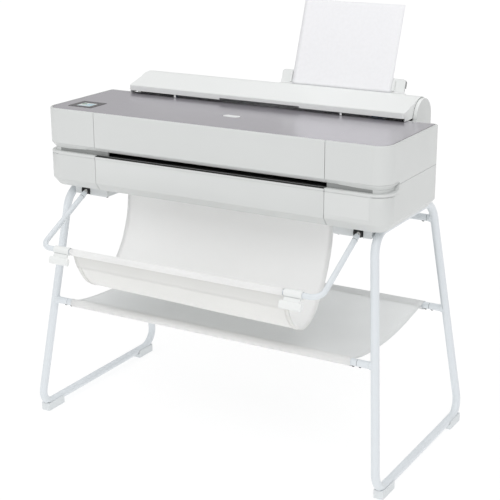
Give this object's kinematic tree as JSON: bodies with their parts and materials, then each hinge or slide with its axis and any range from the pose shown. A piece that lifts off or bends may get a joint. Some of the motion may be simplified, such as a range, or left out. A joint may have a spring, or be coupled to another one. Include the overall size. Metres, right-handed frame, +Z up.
{
  "type": "large format plotter",
  "caption": "Floor-standing large format plotter with a roll bay, sheet feeder, touch panel, output slot, cloth media bin and cloth shelf on a bent tube stand.",
  "frame": {"origin": "on the floor, under the middle of the whole object's box", "axes": "+X to the machine's right as seen from the front, +Y to the rear, +Z up"},
  "size_m": [1.0768, 0.6845, 1.1501],
  "materials": {
    "housing": "satin moulded plastic",
    "roll_cover": "satin moulded plastic",
    "top_plate": "satin grey",
    "tube": "white powder coat",
    "bracket": "moulded plastic",
    "black": "black plastic",
    "grey": "grey plastic",
    "steel": "bright steel",
    "rubber": "black rubber",
    "display": "lit touch display",
    "bin_cloth": "coated cloth",
    "shelf_cloth": "coated cloth",
    "paper": "paper",
    "hub": "blue plastic",
    "board": "circuit board",
    "ink_black": "black plastic",
    "ink_cyan": "cyan plastic",
    "ink_magenta": "magenta plastic",
    "ink_yellow": "yellow plastic"
  },
  "bodies": {
    "base": {"bin_fabric_back": "bin_cloth", "carriage_motor": "grey", "carriage_rail": "steel", "crossbar_front": "tube", "crossbar_rear": "tube", "crossbar_upper_rear": "tube", "drive_belt": "rubber", "end_cap_left": "roll_cover", "end_cap_right": "roll_cover", "fabric_clamp_bar": "bracket", "feed_motor": "grey", "foot_front_left": "bracket", "foot_front_right": "bracket", "foot_rear_left": "bracket", "foot_rear_right": "bracket", "front_panel": "housing", "housing_plate": "top_plate", "ink_cartridge_black": "ink_black", "ink_cartridge_cyan": "ink_cyan", "ink_cartridge_magenta": "ink_magenta", "ink_cartridge_yellow": "ink_yellow", "lower_housing": "housing", "main_board": "board", "mount_bracket_left": "bracket", "mount_bracket_right": "bracket", "platen": "black", "power_inlet": "black", "power_supply": "steel", "rear_housing": "housing", "shelf_fabric": "shelf_cloth", "side_frame_left": "tube", "side_frame_right": "tube", "slot_frame": "grey", "touch_bezel": "black", "touch_display": "display", "upper_housing": "housing"},
    "top_cover": {"top_cover": "housing", "cover_plate": "top_plate"},
    "roll_cover": {"roll_cover": "roll_cover", "paper_sheet": "paper"},
    "sheet_support": {"sheet_support": "roll_cover"},
    "sheet_guide_left": {"sheet_guide_left": "roll_cover"},
    "sheet_guide_right": {"sheet_guide_right": "roll_cover"},
    "roll": {"spindle": "black", "roll_hub_left": "hub", "roll_hub_right": "hub", "paper_roll": "paper"},
    "drive_roller": {"drive_roller": "rubber"},
    "pinch_rollers": {"pinch_rollers": "rubber"},
    "carriage": {"carriage": "black"},
    "belt_pulley_left": {"belt_pulley_left": "steel"},
    "belt_pulley_right": {"belt_pulley_right": "steel"},
    "ink_door": {"ink_door": "housing"},
    "power_switch": {"power_switch": "black"},
    "media_bin": {"bin_rail": "tube", "arm_knuckle_left": "black", "arm_knuckle_right": "black", "rail_clip_left": "roll_cover", "rail_clip_right": "roll_cover", "bin_fabric_front": "bin_cloth"}
  },
  "joints": [
    {"name": "top_cover_hinge", "type": "hinge", "parent": "base", "child": "top_cover", "pos_m": [0, 0.0995, 0.8826], "axis": [-1, 0, 0], "range_deg": [0, 60]},
    {"name": "roll_cover_hinge", "type": "hinge", "parent": "base", "child": "roll_cover", "pos_m": [0, 0.2145, 0.8785], "axis": [-1, 0, 0], "range_deg": [0, 50]},
    {"name": "sheet_support_fold", "type": "hinge", "parent": "roll_cover", "child": "sheet_support", "pos_m": [0, 0.24774, 0.93183], "axis": [-1, 0, 0], "range_deg": [0, 95]},
    {"name": "sheet_guide_left_slide", "type": "slide", "parent": "sheet_support", "child": "sheet_guide_left", "axis": [-1, 0, 0], "range_m": [0, 0.016]},
    {"name": "sheet_guide_right_slide", "type": "slide", "parent": "sheet_support", "child": "sheet_guide_right", "axis": [1, 0, 0], "range_m": [0, 0.016]},
    {"name": "roll_spin", "type": "hinge", "parent": "base", "child": "roll", "pos_m": [0, 0.2145, 0.8785], "axis": [1, 0, 0], "continuous": true},
    {"name": "drive_roller_spin", "type": "hinge", "parent": "base", "child": "drive_roller", "pos_m": [0, 0.015, 0.754], "axis": [1, 0, 0], "continuous": true},
    {"name": "pinch_roller_spin", "type": "hinge", "parent": "base", "child": "pinch_rollers", "pos_m": [0, 0.015, 0.7723], "axis": [1, 0, 0], "continuous": true},
    {"name": "carriage_slide", "type": "slide", "parent": "base", "child": "carriage", "axis": [-1, 0, 0], "range_m": [0, 0.78]},
    {"name": "belt_pulley_left_spin", "type": "hinge", "parent": "base", "child": "belt_pulley_left", "pos_m": [-0.446, 0.034, 0.846], "axis": [0, 0, 1], "range_deg": [-4500, 10]},
    {"name": "belt_pulley_right_spin", "type": "hinge", "parent": "base", "child": "belt_pulley_right", "pos_m": [0.446, 0.034, 0.846], "axis": [0, 0, 1], "range_deg": [-4500, 10]},
    {"name": "ink_door_hinge", "type": "hinge", "parent": "base", "child": "ink_door", "pos_m": [0, -0.171, 0.7003], "axis": [1, 0, 0], "range_deg": [0, 85]},
    {"name": "power_switch_rock", "type": "hinge", "parent": "base", "child": "power_switch", "pos_m": [0.47, 0.136, 0.753], "axis": [1, 0, 0], "range_deg": [0, 10]},
    {"name": "media_bin_hinge", "type": "hinge", "parent": "base", "child": "media_bin", "pos_m": [0, -0.118, 0.652], "axis": [-1, 0, 0], "range_deg": [0, 30]}
  ],
  "couplings": [
    {"joint": "sheet_guide_right_slide", "follows": "sheet_guide_left_slide", "ratio": 1},
    {"joint": "pinch_roller_spin", "follows": "drive_roller_spin", "ratio": -2},
    {"joint": "belt_pulley_left_spin", "follows": "carriage_slide", "rad_per_m": -100},
    {"joint": "belt_pulley_right_spin", "follows": "carriage_slide", "rad_per_m": -100}
  ]
}
